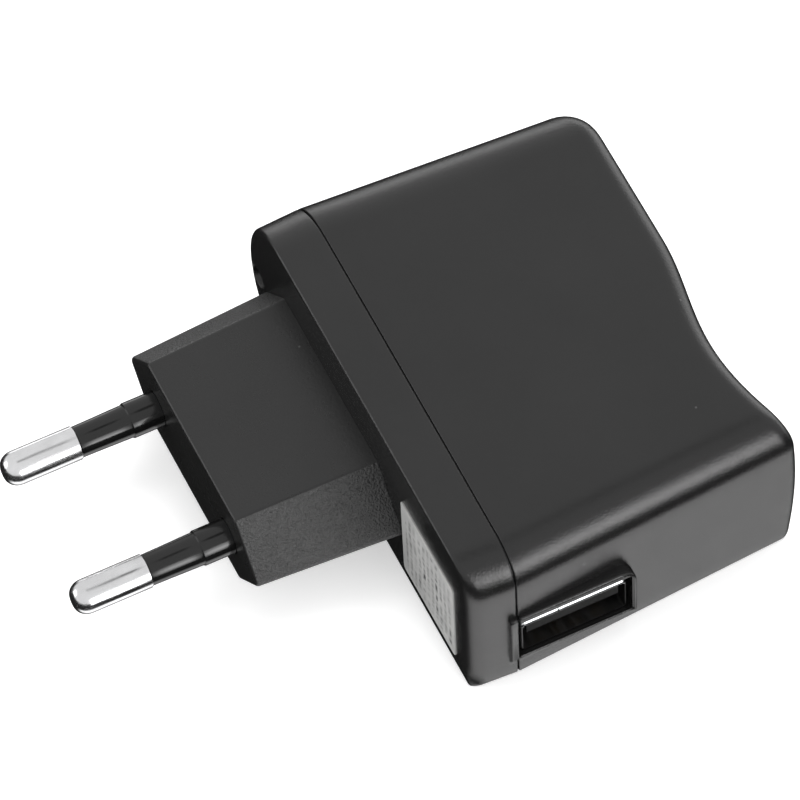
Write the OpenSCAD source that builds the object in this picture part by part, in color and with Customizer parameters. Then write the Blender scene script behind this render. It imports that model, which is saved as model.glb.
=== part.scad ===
// Two-pin wall charger with one USB-A socket, millimetres.
// Z = 0 is the broad face it rests on, the pins point to -Y, the socket faces +X.

/* [Case] */
// Width of the case at the split line, from the round end to the socket end
case_w = 57.2; // [56.8:0.1:57.6]
// Thickness of the case between its two broad faces
case_t = 22.6; // [22.4:0.1:23]
// Depth of the rear shell, from the split line to the back corner at the socket end
shell_l = 35.6; // [35:0.1:36]
// Depth of the front cover, from its front face to the split line
cover_l = 5.8; // [5.5:0.1:6]
// Thickness of the broad walls
wall = 1.7; // [1.5:0.1:1.7]
// Thickness of the end and back walls
end_wall = 1.8; // [1.6:0.1:1.8]
// Narrowing of each end wall over the depth of the rear shell
draft = 2.2; // [1.5:0.1:2.4]
// Reach of the round end, from its apex to the flat of the top
nose_a = 9.2; // [8:0.1:10]
// Radius along the top edge of the socket end
near_r = 4.6; // [3:0.1:5]
// Depth of the dip in the wavy back, below its long hump
dip = 1.6; // [0.8:0.1:1.6]
// Rise of the back from the dip to the corner at the socket end
rise = 3.2; // [2.4:0.1:3.2]
// Height that the socket's frame stands off the end wall
pad_rise = 0.6; // [0.4:0.1:0.8]

/* [Plug] */
// Distance between the axes of the two pins
pin_gap = 18.6; // [18:0.1:19]
// Diameter of a pin's bare tip
pin_d = 4; // [3.9:0.01:4.06]
// Length of a pin outside the plug block
pin_l = 19; // [18.5:0.1:19.5]
// Length of a pin's bare tip
bare_l = 9; // [8:0.1:9.5]
// Height of the pin axes above the resting face
pin_z = 8.4; // [8.3:0.1:8.6]
// Length of the plug block in front of the cover
block_l = 17.2; // [16:0.1:18]
// Width of the plug block's flat at its front end
block_flat = 23; // [22:0.1:24]
// Width of the plug block over its side ridges at its front end
block_ridge = 33.8; // [33:0.1:35]
// Thickness of the plug block at its front end
block_t = 12.3; // [12:0.1:12.6]
// Diameter of a pin's insulating sleeve next to the bare tip
sleeve_d = 3.7; // [3.6:0.05:3.8]

/* [Socket] */
// Outside width of the socket's steel shell
usb_w = 13.1; // [13:0.05:13.2]
// Outside height of the socket's steel shell
usb_h = 5.7; // [5.6:0.05:5.8]
// Length of the socket's steel shell
usb_l = 14.2; // [13:0.1:14.5]
// Thickness of the socket's sheet steel
usb_t = 0.3; // [0.25:0.01:0.35]

/* [Board] */
// Thickness of the circuit board
board_t = 1.6; // [1.2:0.1:1.6]
// Height of the board's underside above the resting face
board_z = 2.65; // [2.6:0.05:2.7]

/* [Hidden] */
$fn = 48;

// case
total_l = pin_l + block_l + cover_l + shell_l;
tip_y = -total_l / 2;
face_y = tip_y + pin_l;
cover_y = face_y + block_l;
split_y = cover_y + cover_l;
back_y = split_y + shell_l;
x_far = -(case_w + pad_rise) / 2;
x_near = x_far + case_w;
pad_x = x_near + pad_rise;
foot_r = 0.3;
near_corner_r = 1.8;
far_corner_r = 4.2;
seam = 0.15;
lip_gap = 0.3;
cover_scale = 0.988;
rear_scale = 1 - draft / x_near;
dip_x = 11.5;
dip_half = 15;
dip_y = back_y - rise;

// plug
plug_x = -6.7;
pin_x = [plug_x - pin_gap / 2, plug_x + pin_gap / 2];
core_r = 1.6;
sleeve_r = sleeve_d / 2;
collar_r = 2.1;
collar_l = 3.7;
seat_l = 2;
flange_t = 1.5;
fit = 0.03;

// socket and board
board_top = board_z + board_t;
usb_x = pad_x - 0.65;
usb_y = split_y + 0.25 + usb_w / 2;
usb_z = board_top + usb_h / 2;
tongue_w = 11.2;
tongue_t = 1.84;
tongue_top = board_top + usb_h - usb_t - 0.66;
tongue_l = 9.6;
contact_y = [-3.5, -1, 1, 3.5];
contact_w = 1;
groove_h = 1.1;
root_x = usb_x - 9.2;
window = [usb_w + 0.65, usb_h + 1.3];
pad_top = board_top + usb_h + 2.25;
screw_at = [[-26.3, 9.3], [20, 12.9]];
screw_d = 2;
head_d = 2.7;
boss_d = 4.8;
board_x = [-20.5, 23.8];
board_y = [split_y + 1, dip_y - 2.6];
lead_r = 0.3;

// centres of the components on the board, each a distance behind the split line
trafo = [4.25, split_y + 10];
bulk = [-15.5, split_y + 23.5];
outcap = [19, split_y + 23];
ycap = [3, split_y + 21];
trans = [-7.2, split_y + 21.2];
opto = [-0.5, split_y + 26.4];
outdiode = [11, split_y + 24.2];
ref = [6.9, split_y + 27];
fuse = [-12.4, split_y + 3];
diode_x = -13.4;
diode_y = [for (i = [0:3]) split_y + 6.6 + 3.3 * i];
diode_half = 4.4;
res = [[-19.2, split_y + 11.2, 90], [18, split_y + 16.3, 0]];
wire_pad = [[-18.8, split_y + 3.2], [-5.4, split_y + 3.2]];
trafo_z = board_top + 6.9;

// every hole in the board that a lead goes through
leads = concat(
    [for (x = [-5.1, -1.7, 1.7, 5.1]) [trafo[0] + x, trafo[1] - 7.1]],
    [for (x = [-4.2, 0, 4.2]) [trafo[0] + x, trafo[1] + 7.1]],
    [for (s = [-1, 1]) bulk + [s * 1.75, 0]],
    [for (s = [-1, 1]) outcap + [s * 1.75, 0]],
    [for (s = [-1, 1]) ycap + [s * 3, 0]],
    [for (s = [-1, 0, 1]) trans + [0, s * 2.3]],
    [for (s = [-1, 1], t = [-1, 1]) opto + [s * 3.81, t * 1.27]],
    [for (s = [-1, 1]) outdiode + [0, s * 4.6]],
    [for (s = [-1, 0, 1]) ref + [s * 1.27, 0]],
    [for (s = [-1, 1]) fuse + [s * 5, 0]],
    [for (y = diode_y, s = [-1, 1]) [diode_x + s * diode_half, y]],
    [for (r = res, s = [-1, 1]) [r[0] + s * 4.6 * cos(r[2]), r[1] + s * 4.6 * sin(r[2])]],
    [for (y = contact_y) [usb_x - usb_l - 1.2, usb_y + y]],
    wire_pad
);

function arc_pts(c, rx, ry, a0, a1, n) =
    [for (i = [0:n]) let (a = a0 + (a1 - a0) * i / n) [c[0] + rx * cos(a), c[1] + ry * sin(a)]];
function near_at(y) = x_near * (1 - (1 - rear_scale) * (y - split_y) / shell_l);
function far_at(y) = x_far * (1 - (1 - rear_scale) * (y - split_y) / shell_l);

// the wavy back: flat hump at the round end, a dip, then a rise to the corner at the socket end
function back_at(x) =
    x > dip_x ? dip_y + rise * (1 - cos(90 * (x - dip_x) / (near_at(back_y) - dip_x))) :
    x > dip_x - dip_half ? dip_y + dip / 2 * (1 - cos(180 * (dip_x - x) / dip_half)) :
    dip_y + dip;

// upright section of the case: flat broad faces, a round end and an end with a rounded top edge
module section(inset) {
    inner_foot = max(foot_r - inset, 0.05);
    side = inset == 0 ? 0 : inset + end_wall - wall;
    polygon(concat(
        arc_pts([x_near - near_r, case_t - near_r], near_r - side, near_r - inset, 0, 90, 8),
        arc_pts([x_far + nose_a, case_t / 2], nose_a - side, case_t / 2 - inset, 90, 270, 26),
        arc_pts([x_near - side - inner_foot, inset + inner_foot], inner_foot, inner_foot, 270, 360, 3)
    ));
}

// section swept along +Y from y0, narrowing to the given scale over its length
module sweep(inset, y0, length, end_scale) {
    translate([0, y0, 0]) rotate([-90, 0, 0]) mirror([0, 1, 0])
        linear_extrude(height = length, scale = [end_scale, 1], slices = 1) section(inset);
}

// plan of the rear shell: the wavy back between two rounded corners
module back_plan(inset) {
    tilt = atan(draft / shell_l);
    near_y = back_y - near_corner_r - 0.3;
    far_y = dip_y + dip - far_corner_r;
    near_c = near_at(near_y) - near_corner_r / cos(tilt);
    far_c = far_at(far_y) + far_corner_r / cos(tilt);
    near = arc_pts([near_c, near_y], near_corner_r - inset, near_corner_r - inset, tilt, 96, 6);
    far = arc_pts([far_c, far_y], far_corner_r - inset, far_corner_r - inset, 90, 180 - tilt, 6);
    x0 = near[6][0];
    steps = 36;
    wave = [for (i = [1:steps - 1]) let (x = x0 + (far_c - x0) * i / steps)
        [x, min(back_at(x) - inset, near[6][1])]];
    polygon(concat(
        [[x_near + 5, split_y - 3], [x_near + 5, near[0][1]]], near, wave, far,
        [[x_far - 5, far[6][1]], [x_far - 5, split_y - 3]]
    ));
}

module case_outer() {
    intersection() {
        sweep(0, split_y, shell_l + 1, 1 - (1 - rear_scale) * (shell_l + 1) / shell_l);
        linear_extrude(case_t) back_plan(0);
    }
}

module case_cavity() {
    intersection() {
        sweep(wall, split_y - 1, shell_l + 1, rear_scale);
        linear_extrude(case_t) back_plan(min(end_wall, near_corner_r - 0.1));
    }
}

module along_y(at, y0, length, d) {
    translate([at[0], y0, at[1]]) rotate([-90, 0, 0]) cylinder(h = length, d = d);
}

module box(x, y, z) {
    translate([x[0], y[0], z[0]]) cube([x[1] - x[0], y[1] - y[0], z[1] - z[0]]);
}

// raised frame around the socket: square to X, with a ramp below and one rounded top corner
module socket_pad(y0, y1, corner) {
    intersection() {
        translate([0, y1, 0]) rotate([90, 0, 0]) linear_extrude(y1 - y0)
            polygon([[x_near - 1.6 - draft / 3, pad_top], [pad_x, pad_top], [pad_x, board_top - 0.2],
                [x_near - 0.5 - draft / 3, 1.6], [x_near - 1.6 - draft / 3, 1.6]]);
        translate([x_near - 4, y0, 0]) rotate([90, 0, 90]) linear_extrude(6)
            polygon(concat([[0, 0], [y1 - y0, 0]],
                arc_pts([y1 - y0 - corner, pad_top - corner], corner, corner, 0, 90, 8), [[0, pad_top]]));
    }
}

module rear_shell() {
    rail_x = [-16.2, 15.1];
    color([0.09, 0.09, 0.10]) difference() {
        union() {
            difference() {
                union() {
                    case_outer();
                    socket_pad(split_y, split_y + window[0] + 0.55, 2.2);
                }
                case_cavity();
            }
            intersection() {
                case_outer();
                union() {
                    for (at = screw_at) along_y(at, split_y + 0.1, 9, boss_d);
                    box([screw_at[1][0] - 0.6, screw_at[1][0] + 0.6], [split_y + 0.4, split_y + 9],
                        [screw_at[1][1] + 2, case_t - wall / 2]);
                    for (x = rail_x) box([x, x + 1], [split_y + 2, board_y[1]], [wall / 2, board_z]);
                }
            }
        }
        for (at = screw_at) along_y(at, split_y - 1, 10, screw_d + 0.06);
        box([usb_x - 5, pad_x + 1], [split_y - 1, split_y + window[0]],
            [board_top - 0.15, board_top - 0.15 + window[1]]);
    }
}

module hexagon(flat, ridge, t) {
    polygon([[-flat / 2, t / 2], [-ridge / 2, 0], [-flat / 2, -t / 2],
        [flat / 2, -t / 2], [ridge / 2, 0], [flat / 2, t / 2]]);
}

module hex_slab(y, t) {
    translate([plug_x, y, pin_z]) rotate([-90, 0, 0]) linear_extrude(t) children();
}

module block_outer(grow) {
    hull() {
        hex_slab(face_y, 0.01) hexagon(block_flat + 2 * grow, block_ridge + 2 * grow, block_t + 2 * grow);
        hex_slab(cover_y, end_wall) hexagon(block_flat + 1 + 2 * grow, block_ridge + 2.2 + 2 * grow,
            block_t + 1.2 + 2 * grow);
    }
}

module front_cover() {
    color([0.09, 0.09, 0.10]) difference() {
        union() {
            difference() {
                union() {
                    mirror([0, 1, 0]) sweep(0, -split_y + seam, cover_l - seam, cover_scale);
                    mirror([0, 1, 0]) sweep(0.35, -split_y, 1, 1);
                    socket_pad(split_y - 1.1, split_y - seam, 0.4);
                }
                mirror([0, 1, 0]) sweep(wall, -split_y - 1, cover_l - end_wall + 1, cover_scale);
            }
            intersection() {
                mirror([0, 1, 0]) sweep(0.5, -split_y, cover_l - 0.5, cover_scale);
                for (at = screw_at) along_y(at, cover_y + 0.5, cover_l - 0.5, boss_d);
            }
            // lip that centres the cover in the upper half of the rear shell
            difference() {
                intersection() {
                    union() {
                        sweep(wall + lip_gap, split_y - 2.5, 4.2, 1);
                        mirror([0, 1, 0]) sweep(wall - 0.4, -split_y + 0.01, 2.4, cover_scale);
                    }
                    box([x_far, x_near], [split_y - 2.4, split_y + 1.7], [case_t / 2 + 2, case_t]);
                }
                sweep(wall + lip_gap + 0.9, split_y - 4, 8, 1);
                along_y(screw_at[0], split_y - 4, 8, boss_d + 0.6);
                box([screw_at[1][0] - 0.9, screw_at[1][0] + 0.9], [split_y, split_y + 3], [0, case_t]);
            }
            for (x = [-9.5, 9]) {
                box([x, x + 1.2], [cover_y + end_wall + flange_t + 0.3, split_y - 0.2], [wall / 2, board_top]);
                box([x, x + 1.2], [split_y - 1, board_y[0] - 0.1], [board_z, board_top]);
            }
        }
        block_outer(0.06);
        for (at = screw_at) {
            along_y(at, cover_y - 1, 3.4, head_d + 0.4);
            along_y(at, cover_y, cover_l + 1, screw_d + 0.4);
        }
    }
}

module plug_block() {
    color([0.10, 0.10, 0.11]) difference() {
        union() {
            block_outer(0);
            intersection() {
                hex_slab(cover_y + end_wall + fit, flange_t)
                    hexagon(block_flat + 4, block_ridge + 4, block_t + 4);
                box([plug_x - 13.7, x_near], [cover_y, split_y], [wall + 0.6, case_t - 2]);
            }
            box([plug_x - block_flat / 2, plug_x + block_flat / 2],
                [cover_y + end_wall - 0.1, cover_y + end_wall + fit + 0.1], [wall + 0.4, pin_z + block_t / 2]);
        }
        for (x = pin_x) {
            along_y([x, pin_z], face_y - 1, 1 + seat_l, 2 * collar_r + 2 * fit);
            along_y([x, pin_z], face_y, block_l + 6, 2 * core_r + 2 * fit);
        }
        box([plug_x - 6.6, plug_x + 6.6], [face_y + 3, split_y], [pin_z - 3.6, pin_z + 3.6]);
    }
}

// turned pin: bullet tip, bare length, thin core inside the sleeve and block, head and solder stub
module pin(x) {
    r = pin_d / 2;
    head_y = block_l + end_wall + flange_t + 2 * fit;
    translate([x, face_y, pin_z]) rotate([-90, 0, 0]) color([0.85, 0.85, 0.86]) rotate_extrude()
        polygon(concat([[0, -pin_l]], arc_pts([0, -pin_l + 2.2], r, 2.2, 276, 360, 8), [
            [r, -pin_l + bare_l], [core_r, -pin_l + bare_l], [core_r, head_y],
            [core_r + 0.9, head_y], [core_r + 0.9, head_y + 0.8], [0.9, head_y + 0.8],
            [0.9, head_y + 1.6], [0, head_y + 1.6]
        ]));
}

module sleeve(x) {
    translate([x, face_y, pin_z]) rotate([-90, 0, 0]) color([0.05, 0.05, 0.05]) rotate_extrude()
        polygon([[core_r + fit, -pin_l + bare_l + fit], [sleeve_r - 0.12, -pin_l + bare_l + fit],
            [sleeve_r, -pin_l + bare_l + 0.3], [sleeve_r + 0.13, -collar_l - 0.15], [collar_r, -collar_l],
            [collar_r, seat_l - fit], [core_r + fit, seat_l - fit]]);
}

module live_pin() { pin(pin_x[0]); }
module neutral_pin() { pin(pin_x[1]); }
module live_pin_sleeve() { sleeve(pin_x[0]); }
module neutral_pin_sleeve() { sleeve(pin_x[1]); }

// pan-head screws with a cross recess, seated on the cover's bosses
module cover_screws() {
    seat = cover_y + 2.4;
    for (at = screw_at) color([0.55, 0.55, 0.56]) difference() {
        union() {
            along_y(at, seat - 1.2, 1.2, head_d);
            along_y(at, seat - 0.1, 8.2, screw_d);
            translate([at[0], seat + 8.1, at[1]]) rotate([-90, 0, 0])
                cylinder(h = 1.4, d1 = screw_d, d2 = 0.5);
        }
        for (a = [0, 90]) translate([at[0], seat - 1.2, at[1]]) rotate([0, a + 20, 0])
            cube([1.8, 1.3, 0.4], center = true);
    }
}

module rating_label() {
    color([0.72, 0.72, 0.70])
        translate([17.95, cover_y, 9.15]) rotate([90, 0, 0]) linear_extrude(0.15)
            offset(r = 0.6) square([11.8, 12.9], center = true);
}

module circuit_board() {
    color([0.55, 0.42, 0.22]) difference() {
        box(board_x, board_y, [board_z, board_top]);
        for (p = leads) translate([p[0], p[1], 0]) cylinder(h = 9, r = lead_r + 0.12, $fn = 20);
        for (s = [-1, 1]) translate([usb_x - 9, usb_y + s * (usb_w / 2 - usb_t / 2), 0])
            cube([2.4, 0.7, 12], center = true);
    }
}

module solder_joints() {
    color([0.75, 0.75, 0.76]) for (p = leads) translate([p[0], p[1], board_z - 0.65])
        cylinder(h = 0.65, r1 = 0.35, r2 = 0.85, $fn = 20);
}

module usb_shell() {
    x0 = usb_x - usb_l;
    w = usb_w / 2;
    color([0.8, 0.8, 0.82]) difference() {
        union() {
            difference() {
                box([x0, usb_x], [usb_y - w, usb_y + w], [board_top, board_top + usb_h]);
                box([x0 + usb_t, usb_x + 1], [usb_y - w + usb_t, usb_y + w - usb_t],
                    [board_top + usb_t, board_top + usb_h - usb_t]);
            }
            for (s = [-1, 1]) box([usb_x - 10, usb_x - 8],
                [usb_y + s * (w - usb_t / 2) - usb_t / 2, usb_y + s * (w - usb_t / 2) + usb_t / 2],
                [board_z, board_top + 1]);
        }
        // butt seam of the folded sheet, and slits around two spring tabs in the top
        box([x0 - 1, usb_x + 1], [usb_y - 2, usb_y - 1.85], [board_top + usb_h - 1, board_top + usb_h + 1]);
        for (s = [-1, 1]) {
            for (d = [-1.2, 1]) translate([usb_x - 8.4, usb_y + s * 3.6 + d, board_top + usb_h - 0.6])
                cube([5.4, 0.2, 1]);
            translate([usb_x - 3.2, usb_y + s * 3.6 - 1.2, board_top + usb_h - 0.6]) cube([0.2, 2.4, 1]);
        }
        for (y = contact_y) box([x0 - 1, x0 + 1], [usb_y + y - 0.7, usb_y + y + 0.7],
            [board_top - 1, board_top + 4]);
    }
}

module usb_insulator() {
    x0 = usb_x - usb_l + usb_t + fit;
    body_x = root_x - 0.35;
    w = usb_w / 2 - usb_t - 0.05;
    color([0.12, 0.12, 0.13]) difference() {
        union() {
            box([x0, body_x], [usb_y - w, usb_y + w], [board_top + usb_t + 0.05, board_top + usb_h - usb_t - 0.05]);
            box([body_x - 0.5, usb_x - 0.4], [usb_y - tongue_w / 2, usb_y + tongue_w / 2],
                [tongue_top - tongue_t, tongue_top]);
        }
        for (y = contact_y) {
            box([body_x - 0.6, usb_x - 0.9], [usb_y + y - 0.72, usb_y + y + 0.72],
                [tongue_top - tongue_t - 1, tongue_top - tongue_t + groove_h]);
            box([x0 - 1, body_x], [usb_y + y - contact_w / 2 - fit, usb_y + y + contact_w / 2 + fit],
                [tongue_top - tongue_t + 0.45, tongue_top - tongue_t + 0.75]);
        }
    }
}

// fixed rear halves of the four contacts: along the insulator, then down into the board
module usb_contact_tails() {
    x1 = usb_x - usb_l - 1.2;
    z = tongue_top - tongue_t + 0.5;
    color([0.80, 0.65, 0.30]) for (y = contact_y) {
        box([x1 - 0.1, root_x - 0.1], [usb_y + y - contact_w / 2, usb_y + y + contact_w / 2], [z, z + 0.2]);
        box([x1 - 0.1, x1 + 0.1], [usb_y + y - 0.25, usb_y + y + 0.25], [board_z, z + 0.1]);
    }
}

// sprung front half of a contact: slopes down to a rounded nose and turns up at its tip
module contact(i) {
    z = tongue_top - tongue_t + 0.6;
    color([0.80, 0.65, 0.30]) translate([root_x, usb_y + contact_y[i] + contact_w / 2, z]) rotate([90, 0, 0])
        linear_extrude(contact_w) polygon([
            [0, -0.1], [4.6, -0.8], [5.6, -0.99], [6.3, -0.86], [7.4, -0.2],
            [7.25, -0.05], [6.15, -0.64], [5.6, -0.75], [4.6, -0.6], [0, 0.1]
        ]);
}
module usb_contact_1() { contact(0); }
module usb_contact_2() { contact(1); }
module usb_contact_3() { contact(2); }
module usb_contact_4() { contact(3); }

// two E-shaped ferrite halves that meet in the middle
module transformer_core() {
    color([0.22, 0.22, 0.24]) for (s = [-1, 1]) translate([trafo[0], trafo[1], trafo_z]) scale([1, s, 1])
        translate([0, 0.03, -2.4]) linear_extrude(4.8) difference() {
            translate([-8, 0]) square([16, 7.1]);
            for (m = [-1, 1]) translate([m * 4 - 2, -0.1]) square([4, 5.2]);
        }
}

module transformer_bobbin() {
    color([0.10, 0.10, 0.10]) translate([trafo[0], trafo[1], trafo_z]) difference() {
        union() {
            cube([5.2, 10, 6], center = true);
            for (s = [-1, 1]) {
                translate([0, s * 4.6, 0]) cube([7.8, 0.8, 12.4], center = true);
                translate([0, s * 6.8, -5]) cube([12.8, 3.2, 3.6], center = true);
                translate([0, s * 5, -5]) cube([7.8, 1, 2.4], center = true);
            }
        }
        cube([4.1, 12, 4.9], center = true);
    }
}

module transformer_winding() {
    color([0.90, 0.72, 0.15]) translate([trafo[0], trafo[1], trafo_z]) difference() {
        rotate([90, 0, 0]) linear_extrude(8.2, center = true) offset(r = 1.2) square([5.3, 9.2], center = true);
        cube([5.3, 10, 6.1], center = true);
    }
}

module transformer_pins() {
    color([0.75, 0.75, 0.76]) for (i = [0:6]) translate([leads[i][0], leads[i][1], board_z])
        cylinder(h = board_t + 0.1, r = lead_r, $fn = 16);
}

// upright electrolytic capacitor: sleeved can with a rolled groove, and two leads
module can(at, r, h) {
    translate([at[0], at[1], board_top + 0.2]) difference() {
        cylinder(h = h, r = r);
        translate([0, 0, 1.6]) difference() {
            cylinder(h = 0.8, r = r + 1);
            cylinder(h = 0.8, r = r - 0.3);
        }
        for (a = [0, 60, 120]) rotate([0, 0, a]) translate([0, 0, h]) cube([r * 1.3, 0.25, 0.3], center = true);
    }
    for (s = [-1, 1]) translate([at[0] + s * 1.75, at[1], board_z])
        cylinder(h = board_t + 0.3, r = lead_r, $fn = 16);
}
module input_capacitor() { color([0.12, 0.14, 0.30]) can(bulk, 4, 12); }
module output_capacitor() { color([0.10, 0.30, 0.16]) can(outcap, 4, 11.5); }

module y_capacitor() {
    color([0.15, 0.35, 0.75]) {
        translate([ycap[0], ycap[1], board_top + 5.2]) rotate([90, 0, 0]) cylinder(h = 3, r = 4, center = true);
        for (s = [-1, 1]) translate([ycap[0] + s * 3, ycap[1], board_z])
            cylinder(h = board_t + 3.2, r = lead_r, $fn = 16);
    }
}

// axial part lying on the board along X: body and two bent leads
module axial(at, r, length, half) {
    z = board_top + 0.15 + r;
    translate([at[0], at[1], 0]) {
        translate([-length / 2, 0, z]) rotate([0, 90, 0]) cylinder(h = length, r = r, $fn = 32);
        for (s = [-1, 1]) {
            translate([s * half, 0, board_z]) cylinder(h = z - board_z, r = lead_r, $fn = 16);
            translate([s * half, 0, z]) sphere(r = lead_r, $fn = 16);
            translate([min(s * half, s * length / 2), 0, z]) rotate([0, 90, 0])
                cylinder(h = half - length / 2, r = lead_r, $fn = 16);
        }
    }
}
module rectifier_diodes() { color([0.12, 0.12, 0.12]) for (y = diode_y) axial([diode_x, y], 1.3, 5, diode_half); }
module fusible_resistor() { color([0.35, 0.60, 0.45]) axial(fuse, 1.5, 7, 5); }
module output_diode() {
    color([0.12, 0.12, 0.12]) translate([outdiode[0], outdiode[1], 0]) rotate([0, 0, 90]) axial([0, 0], 1.5, 5.4, 4.6);
}
module resistors() {
    color([0.75, 0.62, 0.42]) for (p = res) translate([p[0], p[1], 0]) rotate([0, 0, p[2]]) axial([0, 0], 1.1, 6, 4.6);
}

module switching_transistor() {
    color([0.12, 0.12, 0.12]) {
        difference() {
            translate([trans[0] - 1.4, trans[1] - 3.8, board_top + 1.6]) cube([2.8, 7.6, 10.8]);
            translate([trans[0], trans[1], board_top + 8.6]) rotate([0, 90, 0]) cylinder(h = 6, d = 3.2, center = true);
        }
        for (s = [-1, 0, 1]) translate([trans[0] - 0.25, trans[1] + s * 2.3 - 0.25, board_z])
            cube([0.5, 0.5, board_t + 1.7]);
    }
}

module optocoupler() {
    color([0.88, 0.88, 0.86]) {
        translate([opto[0] - 3.2, opto[1] - 2.3, board_top + 0.4]) cube([6.4, 4.6, 3.4]);
        for (s = [-1, 1], t = [-1, 1]) translate([opto[0] + s * 3.81, opto[1] + t * 1.27, 0]) {
            translate([-0.15, -0.25, board_z]) cube([0.3, 0.5, board_t + 2.3]);
            translate([s > 0 ? -0.7 : 0, -0.5, board_top + 2]) cube([0.7, 1, 0.3]);
        }
    }
}

module voltage_reference() {
    color([0.12, 0.12, 0.12]) {
        translate([ref[0], ref[1], board_top + 2]) intersection() {
            cylinder(h = 4.6, d = 4.6);
            translate([-3, -1.3, 0]) cube([6, 4, 5]);
        }
        for (s = [-1, 0, 1]) translate([ref[0] + s * 1.27 - 0.22, ref[1] - 0.22, board_z])
            cube([0.44, 0.44, board_t + 2.1]);
    }
}

// insulated lead from a pin's solder stub to its pad: round wire through hand-placed points
module wire(points, r) {
    for (i = [0:len(points) - 2]) hull() {
        translate(points[i]) sphere(r = r, $fn = 14);
        translate(points[i + 1]) sphere(r = r, $fn = 14);
    }
}
module lead(x, pad, route) {
    stub = face_y + block_l + end_wall + flange_t + 1.6;
    bare = [pad[0], pad[1], board_z];
    start = [x, stub + 0.75, pin_z];
    wire(concat([start], route, [[pad[0], pad[1], board_top + 1.2]]), 0.65);
    translate(bare) cylinder(h = board_t + 1, r = lead_r, $fn = 16);
}
module live_lead() {
    color([0.55, 0.30, 0.15]) lead(pin_x[0], wire_pad[0], [[pin_x[0] - 1.2, split_y + 1, pin_z + 1.4],
        [pin_x[0] - 2.6, split_y + 2.6, pin_z + 0.6]]);
}
module neutral_lead() {
    color([0.15, 0.30, 0.60]) lead(pin_x[1], wire_pad[1], [[pin_x[1] - 2.4, split_y + 0.7, pin_z + 1.8],
        [wire_pad[1][0] + 1.4, split_y + 1.2, pin_z + 1.6], [wire_pad[1][0] + 0.1, split_y + 2.6, pin_z]]);
}

rear_shell();
front_cover();
plug_block();
live_pin();
neutral_pin();
live_pin_sleeve();
neutral_pin_sleeve();
cover_screws();
rating_label();
circuit_board();
solder_joints();
usb_shell();
usb_insulator();
usb_contact_tails();
usb_contact_1();
usb_contact_2();
usb_contact_3();
usb_contact_4();
transformer_core();
transformer_bobbin();
transformer_winding();
transformer_pins();
input_capacitor();
output_capacitor();
y_capacitor();
rectifier_diodes();
fusible_resistor();
switching_transistor();
optocoupler();
output_diode();
voltage_reference();
resistors();
live_lead();
neutral_lead();
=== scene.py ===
"""Two-pin wall charger with one USB-A socket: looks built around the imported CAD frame."""

import math

import bmesh
import bpy
import numpy as np
from mathutils import Matrix, Vector


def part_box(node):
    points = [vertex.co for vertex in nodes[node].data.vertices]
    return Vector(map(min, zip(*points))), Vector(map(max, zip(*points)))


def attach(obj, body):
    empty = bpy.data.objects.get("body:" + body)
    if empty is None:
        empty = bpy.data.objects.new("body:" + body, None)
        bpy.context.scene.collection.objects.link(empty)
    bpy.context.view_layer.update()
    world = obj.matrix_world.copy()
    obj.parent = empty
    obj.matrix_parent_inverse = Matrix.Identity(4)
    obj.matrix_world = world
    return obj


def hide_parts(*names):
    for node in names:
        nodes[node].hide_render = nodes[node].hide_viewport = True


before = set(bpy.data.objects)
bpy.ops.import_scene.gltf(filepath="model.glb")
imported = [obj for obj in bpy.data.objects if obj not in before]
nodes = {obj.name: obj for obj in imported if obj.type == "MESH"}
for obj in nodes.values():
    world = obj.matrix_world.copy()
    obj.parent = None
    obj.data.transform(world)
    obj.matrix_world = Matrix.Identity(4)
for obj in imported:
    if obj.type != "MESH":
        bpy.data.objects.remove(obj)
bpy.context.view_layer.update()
MM = 0.001
scene = bpy.context.scene


def mm_box(name):
    """Low and high corner of a CAD node, in millimetres."""
    low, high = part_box(name)
    return np.array(low) / MM, np.array(high) / MM


# ---------------------------------------------------------------- places read from the frame
shell_lo, shell_hi = mm_box("rear_shell")
cover_lo = mm_box("front_cover")[0]
block_lo = mm_box("plug_block")[0]
live_lo, live_hi = mm_box("live_pin")
neutral_lo, neutral_hi = mm_box("neutral_pin")
usb_lo, usb_hi = mm_box("usb_shell")
label_lo, label_hi = mm_box("rating_label")
screw_lo, screw_hi = mm_box("cover_screws")

PAD_RISE = 0.6
X_FAR = shell_lo[0]
PAD_X = shell_hi[0]
X_NEAR = PAD_X - PAD_RISE
THICK = shell_hi[2]
MID_Z = THICK / 2
SPLIT = shell_lo[1]
BACK = shell_hi[1]
FRONT = cover_lo[1]
FACE = block_lo[1]
TIP = live_lo[1]
PIN_Z = (live_lo[2] + live_hi[2]) / 2
PIN_X = [(live_lo[0] + live_hi[0]) / 2, (neutral_lo[0] + neutral_hi[0]) / 2]
PLUG_X = (PIN_X[0] + PIN_X[1]) / 2

# ---------------------------------------------------------------- shape of the case, mm
WALL = 1.7
END_WALL = 1.8
DRAFT = 2.2
NOSE = 9.2
TOP_R = 4.8
FOOT_R = 0.5
CROWN = 0.2
SEAM = 0.15
COVER_SCALE = 0.988
DIP_X, DIP_HALF, DIP, RISE = 11.5, 15.0, 1.6, 3.2    # the dip in the back: place, half length, depths
DEPTH = BACK - SPLIT
ARC, FLAT, NOSE_N, FOOT, SIDE = 14, 30, 52, 8, 10    # points in each stretch of the outline
SPINE = ARC + FLAT + NOSE_N // 2


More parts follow.
